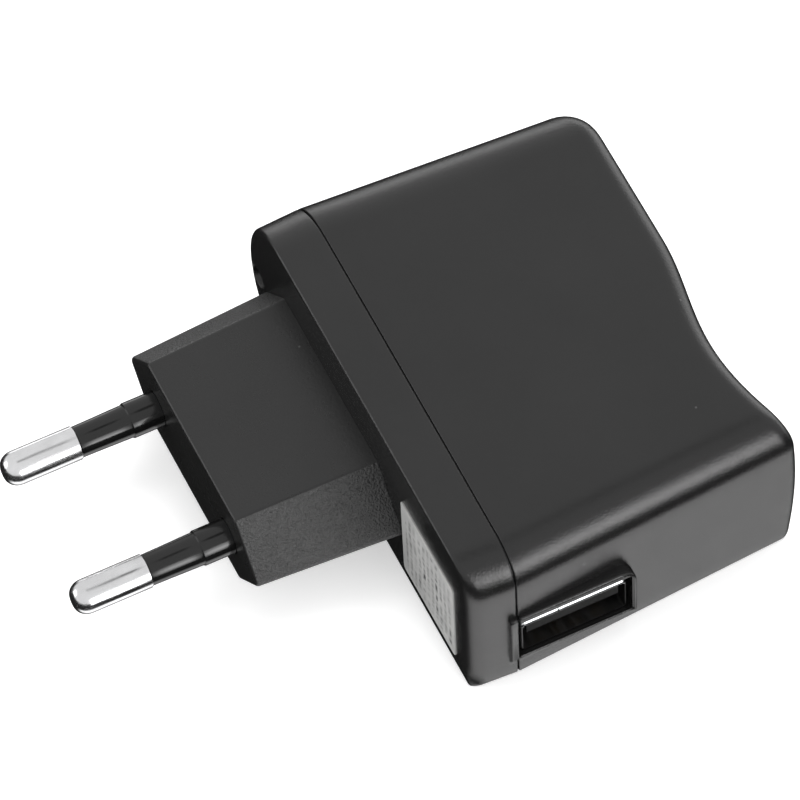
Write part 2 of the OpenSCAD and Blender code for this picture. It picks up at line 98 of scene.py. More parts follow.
def section(inset):
    """Upright outline of the case (x, z), each point moved in by its own inset."""
    n = ARC + 1 + FLAT - 1 + NOSE_N + 1 + FLAT - 1 + FOOT + 1 + SIDE - 1
    d = np.broadcast_to(np.asarray(inset, float), (n,))
    out = np.zeros((n, 2))
    i = 0
    cx, cz = X_NEAR - TOP_R, THICK - TOP_R
    nx = X_FAR + NOSE
    for k in range(ARC + 1):
        a = math.pi / 2 * k / ARC
        r = max(TOP_R - d[i], 0.3)
        out[i] = cx + r * math.cos(a), cz + r * math.sin(a)
        i += 1
    for k in range(1, FLAT):
        out[i] = cx + (nx - cx) * k / FLAT, THICK - d[i]
        i += 1
    for k in range(NOSE_N + 1):
        a = math.pi / 2 + math.pi * k / NOSE_N
        out[i] = nx + (NOSE - d[i]) * math.cos(a), MID_Z + (MID_Z - d[i]) * math.sin(a)
        i += 1
    foot = lambda q: FOOT_R + 0.4 * q
    for k in range(1, FLAT):
        end = X_NEAR - d[i] - foot(d[i])
        out[i] = nx + (end - nx) * k / FLAT, d[i]
        i += 1
    for k in range(FOOT + 1):
        a = math.pi * 1.5 + math.pi / 2 * k / FOOT
        f = foot(d[i])
        out[i] = X_NEAR - d[i] - f + f * math.cos(a), d[i] + f + f * math.sin(a)
        i += 1
    for k in range(1, SIDE):
        low = d[i] + foot(d[i])
        out[i] = X_NEAR - d[i], low + (cz - low) * k / SIDE
        i += 1
    q = (out[:, 0] - (X_NEAR + X_FAR) / 2) / ((X_NEAR - X_FAR) / 2)
    lift = np.clip((out[:, 1] - MID_Z) / MID_Z, 0, 1) ** 2
    out[:, 1] -= CROWN * q * q * lift
    return out


def along_outline(near, top, nose, bottom):
    """One value per outline point, eased from the near end over the top and round the nose."""
    ease = lambda t: t * t * (3 - 2 * t)
    v = [near + (top - near) * ease(k / ARC) for k in range(ARC + 1)]
    v += [top] * (FLAT - 1)
    for k in range(NOSE_N + 1):
        t = 2 * k / NOSE_N
        v.append(top + (nose - top) * ease(t) if t <= 1 else nose + (bottom - nose) * ease(t - 1))
    v += [bottom] * (FLAT - 1)
    v += [bottom + (near - bottom) * k / FOOT for k in range(FOOT + 1)]
    v += [near] * (SIDE - 1)
    return np.array(v)


def rear_taper(y):
    return 1 - DRAFT / X_NEAR * (y - SPLIT) / DEPTH


def cover_taper(y):
    return 1 - (1 - COVER_SCALE) * (SPLIT - y) / (SPLIT - FRONT)


def wave(x):
    """The back in plan: a long hump, a dip, then a rise to the corner at the socket end."""
    low = BACK - RISE
    x_end = X_NEAR - DRAFT
    rise = low + RISE * (1 - np.cos(np.pi / 2 * (x - DIP_X) / (x_end - DIP_X)))
    fall = low + DIP / 2 * (1 - np.cos(np.pi * np.clip((DIP_X - x) / DIP_HALF, 0, 1)))
    return np.where(x > DIP_X, rise, fall)


def back_at(x, z):
    """The back wall, fuller at mid height, most of all by the socket end."""
    bulge = 0.3 + 0.55 * np.clip((x - 8) / 18, 0, 1) ** 1.3
    return wave(x) + bulge * (1 - ((z - MID_Z) / MID_Z) ** 2)


def ring(inset, y, taper):
    s = section(inset)
    y = np.broadcast_to(np.asarray(y, float), (len(s),))
    return np.column_stack([s[:, 0] * taper(y), y, s[:, 1]])


def back_stack(inset, radius, shift, y_front, side_rows, round_rows, fill_rows):
    """Rings from y_front to the back, over a rounded edge, then in to a spine at mid height."""
    def on_back(d):
        y = np.full(len(radius), BACK)
        for _ in range(4):
            p = ring(d, y, rear_taper)
            y = back_at(p[:, 0], p[:, 2]) + shift
        return p[:, 0], y, p[:, 2]

    _, y_edge, _ = on_back(inset)
    start = y_edge - radius
    rings = []
    for t in np.linspace(0, 1, side_rows):
        rings.append(ring(inset, y_front + (start - y_front) * t, rear_taper))
    for k in range(1, round_rows + 1):
        a = math.pi / 2 * k / round_rows
        d = inset + radius * (1 - math.cos(a))
        _, y_here, _ = on_back(d)
        rings.append(ring(d, y_here - radius * (1 - math.sin(a)), rear_taper))
    last = rings[-1]
    spine_x = np.clip(last[:, 0], X_FAR + NOSE + 1, X_NEAR - DRAFT - 7)
    for t in list(np.linspace(0, 1, fill_rows + 1)[1:-1]) + [0.985]:
        x = last[:, 0] + (spine_x - last[:, 0]) * t
        z = last[:, 2] + (MID_Z - last[:, 2]) * t
        rings.append(np.column_stack([x, back_at(x, z) + shift, z]))
    return rings


# ---------------------------------------------------------------- mesh helpers
def make_object(name, verts, faces, slot, body="charger", stands_for=(), sharp=None):
    """A smooth mesh object in the row frame, from millimetres."""
    mesh = bpy.data.meshes.new(name)
    mesh.from_pydata([tuple(float(c) * MM for c in v) for v in verts], [], faces)
    mesh.validate()
    bm = bmesh.new()
    bm.from_mesh(mesh)
    bmesh.ops.recalc_face_normals(bm, faces=bm.faces)
    bm.to_mesh(mesh)
    bm.free()
    mesh.shade_smooth()
    obj = bpy.data.objects.new(name, mesh)
    scene.collection.objects.link(obj)
    if slot:
        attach(obj, body)
        if stands_for:
            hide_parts(*stands_for)
    if sharp is not None:
        mesh.set_sharp_from_angle(angle=math.radians(sharp))
    return obj


def loft(rings, closed=False, spine=None):
    """Vertices and faces of a stack of equal rings, capped at both ends unless closed on itself.
    With spine, the last ring is zipped shut from that point both ways round."""
    n = len(rings[0])
    verts = [tuple(p) for r in rings for p in r]
    faces = []
    rows = len(rings) if closed else len(rings) - 1
    for r in range(rows):
        a, b = r * n, ((r + 1) % len(rings)) * n
        for i in range(n):
            j = (i + 1) % n
            faces.append((a + i, a + j, b + j, b + i))
    if not closed:
        faces.append(tuple(reversed(range(n))))
        last = (len(rings) - 1) * n
        if spine is None:
            faces.append(tuple(range(last, last + n)))
        else:
            for k in range(n // 2):
                corners = [(spine + k) % n, (spine + k + 1) % n, (spine - k - 1) % n, (spine - k) % n]
                faces.append(tuple(last + c for c in dict.fromkeys(corners)))
    return verts, faces


def lathe(profile, x, z, steps=72):
    """Rings of a turned shape about an axis along Y through (x, z); profile is (radius, y)."""
    rings = []
    for r, y in profile:
        a = np.linspace(0, 2 * math.pi, steps, endpoint=False)
        rings.append(np.column_stack([x + r * np.cos(a), np.full(steps, y), z + r * np.sin(a)]))
    return rings


def arc(cx, cy, r, a0, a1, n, ry=None):
    """Points (x, y) on an arc, angles in degrees."""
    ry = r if ry is None else ry
    return [(cx + r * math.cos(math.radians(a0 + (a1 - a0) * i / n)),
             cy + ry * math.sin(math.radians(a0 + (a1 - a0) * i / n))) for i in range(n + 1)]


def inset_polygon(points, d):
    """A convex polygon moved in by d, counter-clockwise points."""
    n = len(points)
    lines = []
    for i in range(n):
        p, q = np.array(points[i]), np.array(points[(i + 1) % n])
        t = (q - p) / np.linalg.norm(q - p)
        normal = np.array([-t[1], t[0]])
        lines.append((p + normal * d, t))
    out = []
    for i in range(n):
        (p, t), (q, u) = lines[i - 1], lines[i]
        m = np.array([[t[0], -u[0]], [t[1], -u[1]]])
        k = np.linalg.solve(m, q - p)[0]
        out.append(p + t * k)
    return out


def round_polygon(points, radius, n=6):
    """A convex polygon with each corner replaced by an arc of n steps."""
    out = []
    count = len(points)
    radii = radius if hasattr(radius, "__len__") else [radius] * count
    for i in range(count):
        a, p, b = (np.array(points[j % count], float) for j in (i - 1, i, i + 1))
        u, v = (a - p) / np.linalg.norm(a - p), (b - p) / np.linalg.norm(b - p)
        half = math.acos(max(-1, min(1, float(u @ v)))) / 2
        reach = radii[i] / math.tan(half)
        centre = p + (u + v) / np.linalg.norm(u + v) * radii[i] / math.sin(half)
        s, e = p + u * reach - centre, p + v * reach - centre
        a0, a1 = math.atan2(s[1], s[0]), math.atan2(e[1], e[0])
        turn = (a1 - a0 + math.pi) % (2 * math.pi) - math.pi
        for k in range(n + 1):
            t = a0 + turn * k / n
            out.append((centre[0] + radii[i] * math.cos(t), centre[1] + radii[i] * math.sin(t)))
    return out


def box_rings(y0, y1, z0, z1, radii, xs, grows, n=5):
    """Rings of a rounded rectangle in YZ at each x, grown by each grow, for pads and cutters."""
    rings = []
    for x, g in zip(xs, grows):
        corners = [(y0 - g, z0 - g), (y1 + g, z0 - g), (y1 + g, z1 + g), (y0 - g, z1 + g)]
        pts = round_polygon(corners, [max(r + g, 0.02) for r in radii], n)
        rings.append(np.array([(x, p[0], p[1]) for p in pts]))
    return rings


def boolean(target, tools, operation):
    """Applies exact booleans with loose tool meshes, then removes them."""
    for tool in tools:
        m = target.modifiers.new("b", "BOOLEAN")
        m.operation, m.object, m.solver = operation, tool, "EXACT"
    dg = bpy.context.evaluated_depsgraph_get()
    mesh = bpy.data.meshes.new_from_object(target.evaluated_get(dg))
    target.modifiers.clear()
    old = target.data
    target.data = mesh
    mesh.name = old.name
    bpy.data.meshes.remove(old)
    for tool in tools:
        bpy.data.objects.remove(tool)


def tidy(obj, sharp):
    """Merges what a boolean left behind, and sets the shading angle."""
    bm = bmesh.new()
    bm.from_mesh(obj.data)
    bmesh.ops.remove_doubles(bm, verts=bm.verts, dist=2e-6)
    bmesh.ops.dissolve_degenerate(bm, edges=bm.edges, dist=2e-6)
    bm.to_mesh(obj.data)
    bm.free()
    obj.data.shade_smooth()
    obj.data.set_sharp_from_angle(angle=math.radians(sharp))


# ---------------------------------------------------------------- materials
def shader(name):
    m = bpy.data.materials.new(name)
    m.use_nodes = True
    return m, m.node_tree, m.node_tree.nodes["Principled BSDF"]


class Nodes:
    """Short calls for building one node tree."""

    def __init__(self, tree, bsdf):
        self.t, self.b = tree, bsdf
        self.co = tree.nodes.new("ShaderNodeTexCoord").outputs["Object"]

    def put(self, kind, inputs=None, out=0, **props):
        n = self.t.nodes.new(kind)
        for k, v in props.items():
            setattr(n, k, v)
        for k, v in (inputs or {}).items():
            if isinstance(v, bpy.types.NodeSocket):
                self.t.links.new(v, n.inputs[k])
            else:
                n.inputs[k].default_value = v
        return n.outputs[out]

    def noise(self, scale, detail=2.0, rough=0.5, at=None):
        return self.put("ShaderNodeTexNoise", {"Vector": at or self.co, "Scale": scale, "Detail": detail,
                                               "Roughness": rough})

    def voronoi(self, scale, feature="F1", out=0):
        return self.put("ShaderNodeTexVoronoi", {"Vector": self.co, "Scale": scale}, out=out, feature=feature)

    def span(self, value, low, high, to_low=0.0, to_high=1.0):
        return self.put("ShaderNodeMapRange", {"Value": value, "From Min": low, "From Max": high,
                                               "To Min": to_low, "To Max": to_high})

    def math(self, op, a, b=0.0, c=0.0):
        return self.put("ShaderNodeMath", {0: a, 1: b, 2: c}, operation=op)

    def mix(self, factor, a, b):
        n = self.t.nodes.new("ShaderNodeMix")
        n.data_type = "RGBA"
        for socket, v in ((n.inputs[0], factor), (n.inputs[6], a), (n.inputs[7], b)):
            if isinstance(v, bpy.types.NodeSocket):
                self.t.links.new(v, socket)
            else:
                socket.default_value = v
        return n.outputs[2]

    def bump(self, height, distance, strength=1.0, normal=None):
        inputs = {"Height": height, "Distance": distance, "Strength": strength}
        if normal is not None:
            inputs["Normal"] = normal
        return self.put("ShaderNodeBump", inputs)

    def to(self, socket, value):
        if isinstance(value, bpy.types.NodeSocket):
            self.t.links.new(value, self.b.inputs[socket])
        else:
            self.b.inputs[socket].default_value = value


def grey(v, warm=0.0):
    return (v * (1 + warm), v, v * (1 - warm), 1.0)


def moulded(name, base, rough, grain=3600, depth=1.2e-5, coarse=0.0, dust=0.0, specular=0.5):
    """Black moulded plastic with a spark-eroded grain, faint cloudiness and a few dust specks."""
    m, tree, b = shader(name)
    n = Nodes(tree, b)
    cloud = n.noise(60, 4, 0.6)
    fine = n.noise(grain, 3, 0.62)
    colour = n.mix(n.span(cloud, 0.3, 0.7), grey(base * 0.88), grey(base * 1.15))
    if dust:
        cell = n.voronoi(900, out=0)
        pick = n.voronoi(900, out=1)
        chosen = n.span(n.put("ShaderNodeSeparateColor", {"Color": pick}), 0.992, 0.993)
        spot = n.math("MULTIPLY", n.span(cell, 0.16, 0.08), chosen)
        colour = n.mix(n.math("MULTIPLY", spot, dust), colour, grey(0.2))
    n.to("Base Color", colour)
    wear = n.noise(260, 5, 0.7)
    n.to("Roughness", n.math("ADD", n.span(wear, 0.25, 0.75, rough - 0.04, rough + 0.05),
                             n.span(fine, 0.3, 0.7, -0.03, 0.03)))
    normal = n.bump(fine, depth)
    if coarse:
        pits = n.voronoi(4400, "SMOOTH_F1")
        lumps = n.noise(3000, 3, 0.6)
        normal = n.bump(n.math("ADD", n.math("MULTIPLY", pits, 0.8), lumps), coarse, 1.0, normal)
    n.to("Normal", normal)
    b.inputs["Specular IOR Level"].default_value = specular
    return m


def metal(name, colour, rough, scratch=0.25, brushed=None, depth=2e-6):
    """Plated or stamped metal with fine drawn lines along one axis and faint smudges."""
    m, tree, b = shader(name)
    n = Nodes(tree, b)
    at = n.co
    if brushed:
        at = n.put("ShaderNodeMapping", {"Vector": n.co, "Scale": brushed})
    lines = n.noise(2600, 4, 0.65, at=at)
    smudge = n.noise(320, 4, 0.6)
    n.to("Metallic", 1.0)
    n.to("Base Color", n.mix(n.span(smudge, 0.35, 0.75), colour, tuple(c * 0.86 for c in colour[:3]) + (1,)))
    n.to("Roughness", n.math("ADD", n.span(smudge, 0.3, 0.7, rough * 0.8, rough * 1.3),
                             n.span(lines, 0.3, 0.7, -rough * scratch, rough * scratch)))
    n.to("Normal", n.bump(lines, depth))
    return m


def coated(name, base, rough, second=None, scale=900, depth=4e-6, coat=0.0):
    """General component finish: two close colours in a soft mottle, with a slight surface."""
    m, tree, b = shader(name)
    n = Nodes(tree, b)
    mottle = n.noise(scale, 4, 0.6)
    other = second or tuple(c * 0.75 for c in base[:3]) + (1.0,)
    n.to("Base Color", n.mix(n.span(mottle, 0.35, 0.7), base, other))
    n.to("Roughness", n.span(mottle, 0.25, 0.75, max(rough - 0.07, 0.03), rough + 0.07))
    n.to("Normal", n.bump(n.noise(scale * 2.5, 3, 0.6), depth))
    b.inputs["Coat Weight"].default_value = coat
    return m


mat = {
    "case": moulded("case_plastic", 0.0095, 0.20, grain=4000, depth=4e-5, dust=0.25),
    "block": moulded("block_plastic", 0.012, 0.30, grain=2600, depth=2.5e-5, dust=0.3),
    # block_grain_painted_light: the coarser grain of the block's slanted faces, with a base colour lighter
    # than the block's as painted light for the light those faces catch.
    "block_grain_painted_light": moulded("block_grain_painted_light", 0.042, 0.36, grain=5200, depth=2e-5, coarse=1.8e-4),
    "sleeve": moulded("sleeve_plastic", 0.006, 0.14, grain=1400, depth=3e-6),
    "usb_plastic": moulded("usb_plastic", 0.004, 0.5, grain=2600, depth=1e-5, specular=0.12),
    "pin": metal("pin_plating", (0.86, 0.86, 0.87, 1), 0.20, scratch=0.5, brushed=(1, 0.04, 1), depth=1.2e-5),
    "steel": metal("usb_steel", (0.78, 0.79, 0.80, 1), 0.20, brushed=(0.08, 1, 1)),
    # steel_painted_shade: a dark copy of the socket's steel, painted shade for the inside of its shell.
    "steel_painted_shade": metal("usb_steel_painted_shade", (0.10, 0.10, 0.10, 1), 0.42, brushed=(0.08, 1, 1)),
    "screw": metal("screw_steel", (0.52, 0.52, 0.54, 1), 0.32, brushed=(1, 0.3, 1)),
    "gold": metal("contact_plating", (0.80, 0.57, 0.24, 1), 0.30, brushed=(0.1, 1, 1)),
    "solder": metal("solder", (0.66, 0.67, 0.69, 1), 0.30, depth=6e-6),
    "core": coated("ferrite", (0.040, 0.040, 0.045, 1), 0.55, scale=2200, depth=1.2e-5),
    "bobbin": coated("bobbin_plastic", (0.022, 0.022, 0.024, 1), 0.45),
    "tape": coated("winding_tape", (0.78, 0.50, 0.05, 1), 0.28, second=(0.70, 0.42, 0.035, 1), coat=0.4),
    "bulk": coated("bulk_sleeve", (0.025, 0.035, 0.11, 1), 0.25, coat=0.5),
    "output": coated("output_sleeve", (0.02, 0.11, 0.05, 1), 0.25, coat=0.5),
    "blue": coated("blue_coating", (0.03, 0.13, 0.48, 1), 0.30, coat=0.6, depth=2e-5, scale=500),
    "diode": coated("diode_epoxy", (0.022, 0.022, 0.023, 1), 0.50, scale=2400, depth=8e-6),
    "fuse": coated("fusible_coating", (0.18, 0.42, 0.24, 1), 0.42),
    "chip": coated("chip_epoxy", (0.020, 0.020, 0.022, 1), 0.52, scale=2600, depth=1e-5),
    "opto": coated("opto_epoxy", (0.72, 0.71, 0.68, 1), 0.50, scale=2000, depth=6e-6),
    "resistor": coated("resistor_coating", (0.55, 0.42, 0.22, 1), 0.42),
    "live": coated("live_insulation", (0.22, 0.085, 0.03, 1), 0.42),
    "neutral": coated("neutral_insulation", (0.03, 0.11, 0.36, 1), 0.42),
}


def board_material():
    """Tan phenolic board: fine paper fibre and soft darker stains at random."""
    m, tree, b = shader("board_laminate")
    n = Nodes(tree, b)
    stretch = n.put("ShaderNodeMapping", {"Vector": n.co, "Scale": (1, 0.25, 1)})
    fibre = n.noise(2400, 5, 0.7, at=stretch)
    stain = n.noise(120, 3)
    colour = n.mix(n.span(fibre, 0.3, 0.7), (0.34, 0.21, 0.085, 1), (0.42, 0.28, 0.13, 1))
    n.to("Base Color", n.mix(n.span(stain, 0.45, 0.75), colour, (0.27, 0.16, 0.06, 1)))
    n.to("Roughness", n.span(fibre, 0.3, 0.7, 0.42, 0.58))
    n.to("Normal", n.bump(fibre, 6e-6))
    return m


def label_material():
    """Grey printed label: rows of short unreadable bars that run up the label, inside a plain margin."""
    m, tree, b = shader("label_print")
    n = Nodes(tree, b)
    xyz = tree.nodes.new("ShaderNodeSeparateXYZ")
    tree.links.new(n.co, xyz.inputs[0])
    x, z = xyz.outputs[0], xyz.outputs[2]
    sway = n.math("MULTIPLY", n.noise(150, 2), 0.0011)
    row = n.math("DIVIDE", n.math("SUBTRACT", n.math("ADD", x, sway), label_lo[0] * MM), 0.00108)
    within = n.math("FRACT", row)
    line = n.math("MULTIPLY", n.math("GREATER_THAN", within, 0.30), n.math("LESS_THAN", within, 0.80))
    words = n.put("ShaderNodeCombineXYZ", {"X": n.math("FLOOR", row), "Y": n.math("MULTIPLY", z, 760.0)})
    gaps = n.noise(1.0, 1.0, at=words)
    marks = n.put("ShaderNodeCombineXYZ", {"X": n.math("MULTIPLY", n.math("FLOOR", row), 7.3),
                                           "Y": n.math("MULTIPLY", z, 3300.0)})
    ticks = n.noise(1.0, 2.0, at=marks)
    ink = n.math("MULTIPLY", n.math("MULTIPLY", line, n.math("GREATER_THAN", gaps, 0.40)),
                 n.math("GREATER_THAN", ticks, 0.50))
    edge_x = n.math("MULTIPLY", n.math("GREATER_THAN", x, (label_lo[0] + 1.0) * MM),
                    n.math("LESS_THAN", x, (label_hi[0] - 0.8) * MM))
    edge_z = n.math("MULTIPLY", n.math("GREATER_THAN", z, (label_lo[2] + 0.9) * MM),
                    n.math("LESS_THAN", z, (label_hi[2] - 1.1) * MM))
    ink = n.math("MULTIPLY", ink, n.math("MULTIPLY", edge_x, edge_z))
    paper = n.mix(n.span(n.noise(500, 4), 0.3, 0.7), (0.40, 0.40, 0.395, 1), (0.50, 0.50, 0.49, 1))
    soft = n.math("MULTIPLY", ink, n.span(n.noise(420, 2), 0.35, 0.65, 0.35, 0.95))
    n.to("Base Color", n.mix(soft, paper, (0.09, 0.09, 0.09, 1)))
    n.to("Roughness", n.span(n.noise(700, 3), 0.3, 0.7, 0.38, 0.5))
    n.to("Normal", n.bump(n.noise(2600, 3), 3e-6))
    return m


mat["board"] = board_material()
mat["label"] = label_material()


def dress(obj, *finishes):
    """Gives an object these finishes in place of whatever it had."""
    obj.data.materials.clear()
    for finish in finishes:
        obj.data.materials.append(mat[finish])


# ---------------------------------------------------------------- rear shell
ROUND = along_outline(1.9, 2.3, 4.2, 1.5)
outer = back_stack(np.zeros(len(ROUND)), ROUND, 0.0, SPLIT + 0.16, 10, 9, 9)
rim = [ring(WALL, SPLIT, rear_taper)]
rim += [ring(0.16 * (1 - math.sin(a)), SPLIT + 0.16 * (1 - math.cos(a)), rear_taper)
        for a in np.linspace(0, math.pi / 2, 5)[:-1]]
inner = back_stack(np.full(len(ROUND), WALL), np.maximum(ROUND - WALL, 0.4), -END_WALL, SPLIT, 4, 3, 5)
rear_shell = make_object("rear_shell_body", *loft(list(reversed(inner))[:-1] + rim + outer, spine=SPINE),
                         "case_plastic", stands_for=["rear_shell"])

SHELL_HEIGHT, WIN_HEIGHT, WIN_GAP = 5.7, 7.0, 0.15
BOARD_TOP = usb_hi[2] - SHELL_HEIGHT
PAD_TOP = usb_hi[2] + 2.25
PAD_FOOT = BOARD_TOP - 0.2
RAMP_END = 1.6
WIN_Z = (BOARD_TOP - WIN_GAP, BOARD_TOP - WIN_GAP + WIN_HEIGHT)
WIN_END = SPLIT + (usb_hi[1] - usb_lo[1]) + 0.65


def pad(name, y0, y1, radii, edge):
    """Raised frame of the socket: rounded face edges, and a ramp that dies into the wall below."""
    steps = [0, 22.5, 45, 67.5, 90]
    xs = [X_NEAR - 2.6] + [PAD_X - edge + edge * math.sin(math.radians(a)) for a in steps]
    grows = [0] + [-edge * (1 - math.cos(math.radians(a))) for a in steps]
    rings = box_rings(y0, y1, 1.0, PAD_TOP, radii, xs, grows, 6)
    obj = make_object(name, *loft(rings), None)
    bm = bmesh.new()
    bm.from_mesh(obj.data)
    slope = Vector((PAD_FOOT - RAMP_END, 0, X_NEAR - 0.5 - DRAFT / 3 - PAD_X))
    cut = bmesh.ops.bisect_plane(bm, geom=bm.verts[:] + bm.edges[:] + bm.faces[:],
                                 plane_co=Vector((PAD_X, 0, PAD_FOOT)) * MM, plane_no=slope,
                                 clear_outer=True)
    bmesh.ops.holes_fill(bm, edges=[e for e in cut["geom_cut"] if isinstance(e, bmesh.types.BMEdge)])
    bmesh.ops.recalc_face_normals(bm, faces=bm.faces)
    bm.to_mesh(obj.data)
    bm.free()
    return obj


def window_cutter():
    """Window of the socket, with a small rounded lip at the face of its frame."""
    lip = 0.22
    a = [0, 30, 60, 90]
    xs = [15.0] + [PAD_X - lip * math.cos(math.radians(t)) for t in a] + [PAD_X + 1]
    grows = [0] + [lip * (1 - math.sin(math.radians(90 - t))) for t in a] + [lip]
    return make_object("cut", *loft(box_rings(SPLIT - 3, WIN_END, WIN_Z[0], WIN_Z[1],
                                              [0.3] * 4, xs, grows, 4)), None)


boolean(rear_shell, [pad("pad", SPLIT + 0.02, WIN_END + 0.55, [0.3, 0.5, 2.2, 0.3], 0.3)], "UNION")
boolean(rear_shell, [window_cutter()], "DIFFERENCE")
tidy(rear_shell, 38)

# ---------------------------------------------------------------- front cover
FRONT_ROUND = along_outline(1.9, 0.45, 0.9, 0.4)


def cover_stack():
    """Front cover: inner wall, inset tongue behind the groove, rounded rim, wall, rounded front."""
    rings = [ring(WALL, FRONT + END_WALL, cover_taper), ring(WALL, SPLIT - 0.01, cover_taper),
             ring(0.4, SPLIT - 0.01, cover_taper), ring(0.4, SPLIT - SEAM, cover_taper)]
    for a in np.linspace(0, math.pi / 2, 5):
        rings.append(ring(0.16 * (1 - math.sin(a)), SPLIT - SEAM - 0.16 * (1 - math.cos(a)), cover_taper))
    start = SPLIT - SEAM - 0.16
    for t in (0.25, 0.5, 0.75):
        rings.append(ring(0, start + (FRONT + FRONT_ROUND - start) * t, cover_taper))
    for k in range(8):
        a = math.pi / 2 * k / 7
        rings.append(ring(FRONT_ROUND * (1 - math.cos(a)), FRONT + FRONT_ROUND * (1 - math.sin(a)),
                          cover_taper))
    return rings


def hexagon(flat, ridge, t):
    """Outline of the plug block, counter-clockwise in (x, z)."""
    return [(PLUG_X - flat / 2, PIN_Z - t / 2), (PLUG_X + flat / 2, PIN_Z - t / 2),
            (PLUG_X + ridge / 2, PIN_Z), (PLUG_X + flat / 2, PIN_Z + t / 2),
            (PLUG_X - flat / 2, PIN_Z + t / 2), (PLUG_X - ridge / 2, PIN_Z)]


# width of the flats, width over the ridges and thickness: at the face, and what they grow by at the cover
HEX_FRONT = (23.0, 33.8, 12.3)
HEX_GROW = (1.0, 2.2, 1.2)
HEX_CORNER = [0.9, 0.9, 1.0, 0.9, 0.9, 1.0]


def hex_ring(y, inset, corner):
    t = (y - FACE) / (FRONT - FACE)
    size = [f + g * t for f, g in zip(HEX_FRONT, HEX_GROW)]
    pts = inset_polygon(hexagon(*size), inset)
    pts = round_polygon(pts, [max(c - inset, 0.05) for c in corner])
    return np.array([(p[0], y, p[1]) for p in pts])


front_cover = make_object("front_cover_body", *loft(cover_stack()), "case_plastic",
                          stands_for=["front_cover"])
boolean(front_cover, [pad("tab", SPLIT - 1.12, SPLIT - SEAM, [0.4, 0.3, 0.3, 0.5], 0.25)], "UNION")
HEAD_R = 1.35
SCREWS = [(screw_lo[0] + HEAD_R, 9.3), (screw_hi[0] - HEAD_R, 12.9)]
cutters = [make_object("cut", *loft([hex_ring(y, -0.05, HEX_CORNER) for y in (FRONT - 2, FRONT + 4)]), None)]
for x, z in SCREWS:
    profile = [(HEAD_R + 0.5, FRONT - 1), (HEAD_R + 0.5, FRONT), (HEAD_R + 0.32, FRONT + 0.04),
               (HEAD_R + 0.2, FRONT + 0.2), (HEAD_R + 0.2, FRONT + 2.4), (0.9, FRONT + 2.5), (0.9, FRONT + 5)]
    cutters.append(make_object("cut", *loft(lathe(profile, x, z, 48)), None))
bosses = []
for x, z in SCREWS:
    bosses.append(make_object("boss", *loft(lathe([(2.3, FRONT + 0.9), (2.3, SPLIT - 0.3)], x, z, 48)), None))
boolean(front_cover, bosses, "UNION")
boolean(front_cover, cutters, "DIFFERENCE")
tidy(front_cover, 38)

# ---------------------------------------------------------------- plug block
rings = [hex_ring(y, 0, HEX_CORNER) for y in np.linspace(FRONT + 3.2, FACE + 0.4, 12)]
for k in range(1, 7):
    a = math.pi / 2 * k / 6
    rings.append(hex_ring(FACE + 0.4 * (1 - math.sin(a)), 0.4 * (1 - math.cos(a)), HEX_CORNER))
plug_block = make_object("plug_block_body", *loft(rings), "block_plastic", stands_for=["plug_block"])
COLLAR_R, SEAT = 2.1, 2.0
boolean(plug_block, [make_object("cut", *loft(lathe(
    [(COLLAR_R + 0.16, FACE - 1), (COLLAR_R + 0.16, FACE), (COLLAR_R + 0.03, FACE + 0.12),
     (COLLAR_R + 0.03, FACE + SEAT)], x, PIN_Z, 64)), None) for x in PIN_X], "DIFFERENCE")
tidy(plug_block, 38)

# ---------------------------------------------------------------- pins and sleeves
BARE, COLLAR_L = 9.0, 3.7
PIN_R, CORE_R, SLEEVE_R = 2.0, 1.6, 1.85
for word, x in zip(("live", "neutral"), PIN_X):
    nose = [(max(r, 0.02), y) for r, y in arc(0.55, TIP + 1.75, PIN_R - 0.55, 270, 360, 12, 1.75)]
    profile = [(0.02, TIP)] + nose + [(PIN_R, TIP + 4), (PIN_R, TIP + 6.5)]
    profile += arc(PIN_R - 0.1, TIP + BARE - 0.1, 0.1, 0, 90, 3)
    profile += [(CORE_R, TIP + BARE), (CORE_R, FACE + 4), (CORE_R, FRONT + 3.3), (2.5, FRONT + 3.3),
                (2.5, FRONT + 4.1), (0.9, FRONT + 4.1), (0.9, FRONT + 4.9), (0.02, FRONT + 4.9)]
    pin = make_object(f"{word}_pin_body", *loft(lathe(profile, x, PIN_Z)), "pin_metal",
                      stands_for=[f"{word}_pin"], sharp=35)
    dress(pin, "pin")
    y0 = TIP + BARE
    profile = [(CORE_R + 0.03, y0 + 0.03), (SLEEVE_R - 0.12, y0 + 0.03)]
    profile += arc(SLEEVE_R - 0.1, y0 + 0.13, 0.1, 300, 360, 3)
    profile += [(SLEEVE_R + 0.03, y0 + 2.2), (SLEEVE_R + 0.07, y0 + 4.2),
                (SLEEVE_R + 0.11, FACE - COLLAR_L - 0.2), (SLEEVE_R + 0.13, FACE - COLLAR_L - 0.1)]
    profile += arc(COLLAR_R - 0.1, FACE - COLLAR_L + 0.06, 0.1, 290, 360, 4)
    profile += [(COLLAR_R, FACE - 2), (COLLAR_R, FACE + SEAT - 0.03), (CORE_R + 0.03, FACE + SEAT - 0.03)]
    rings = lathe(profile, x, PIN_Z)
    sleeve = make_object(f"{word}_sleeve_body", *loft(rings, closed=True), "sleeve_plastic",
                         stands_for=[f"{word}_pin_sleeve"], sharp=35)
    dress(sleeve, "sleeve")

dress(rear_shell, "case")
dress(front_cover, "case")
dress(plug_block, "block", "block_grain_painted_light")
# The slanted faces take the coarser grain, and with it a lighter base colour that is painted light.
for face in plug_block.data.polygons:
    slanted = abs(face.normal.x) > 0.45 and abs(face.normal.y) < 0.5
    face.material_index = 1 if slanted else 0

# ---------------------------------------------------------------- steel shell of the socket
SHEET = 0.3
LIP_ROLL = 0.55
SEAM_WIDTH = 0.16


